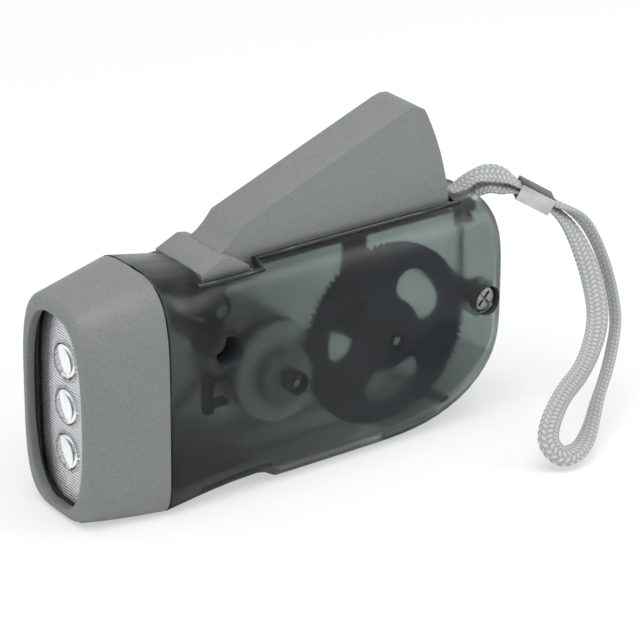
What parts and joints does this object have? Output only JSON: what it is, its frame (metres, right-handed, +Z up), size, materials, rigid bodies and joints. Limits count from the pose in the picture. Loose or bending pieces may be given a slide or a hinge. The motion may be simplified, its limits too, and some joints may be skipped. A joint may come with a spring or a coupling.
{
  "type": "hand-press dynamo flashlight",
  "caption": "Hand-press dynamo flashlight with a smoked case, grey head and squeeze lever that drives a gear train and rotor, and a braided wrist strap.",
  "frame": {"origin": "centre of the case's length and width, on the surface that it stands on", "axes": "-X is the way the lamp shines, +Z is up to the lever, +Y is the far half of the case"},
  "size_m": [0.133, 0.0612, 0.0724],
  "materials": {
    "smoke": "smoked, clear",
    "steel": "drawn",
    "grey": "fine texture",
    "clear": "polished clear plastic",
    "seal": "matte",
    "silver": "metallised",
    "board": "solder mask",
    "led": "clear",
    "black": "moulded",
    "wire": "insulated",
    "nylon": "moulded",
    "zinc": "cast zinc",
    "magnet": "ferrite",
    "core": "pressed sheet",
    "copper": "enamelled wire",
    "tape": "braided",
    "crimp": "bright"
  },
  "bodies": {
    "case": {"left_shell": "smoke", "right_shell": "smoke", "case_screws": "steel", "head_bezel": "grey", "window_lens": "clear", "lens_gasket": "seal", "reflector": "silver", "led_board": "board", "leds": "led", "diodes": "black", "lead_wires": "wire", "lever_pin": "steel", "return_spring": "steel", "gear_axle": "steel", "stator_core": "core", "coil_bobbin": "nylon", "coil_winding": "copper", "strap_bar": "steel", "strap": "tape", "strap_crimp": "crimp"},
    "lever": {"press_lever": "grey"},
    "pinion": {"drive_pinion": "nylon"},
    "gear": {"main_gear": "black"},
    "rotor": {"rotor_pinion": "nylon", "flywheel": "zinc", "ring_magnet": "magnet", "rotor_shaft": "steel"}
  },
  "joints": [
    {"name": "lever_press", "type": "hinge", "parent": "case", "child": "lever", "pos_m": [-0.01965, 0, 0.0418], "axis": [0, 1, 0], "range_deg": [0, 20], "stiffness_Nm_per_rad": 0.3, "springref_deg": -28.65},
    {"name": "pinion_turn", "type": "hinge", "parent": "case", "child": "pinion", "pos_m": [0.02448, 0, 0.02397], "axis": [0, 1, 0], "range_deg": [-200, 5]},
    {"name": "gear_turn", "type": "hinge", "parent": "case", "child": "gear", "pos_m": [0.02448, 0, 0.02397], "axis": [0, 1, 0], "range_deg": [-200, 5]},
    {"name": "rotor_turn", "type": "hinge", "parent": "case", "child": "rotor", "pos_m": [-0.00136, 0, 0.02112], "axis": [0, 1, 0], "range_deg": [-5, 660]}
  ],
  "couplings": [
    {"joint": "pinion_turn", "follows": "lever_press", "ratio": -9.8182},
    {"joint": "gear_turn", "follows": "lever_press", "ratio": -9.8182},
    {"joint": "rotor_turn", "follows": "lever_press", "ratio": 32.727}
  ]
}
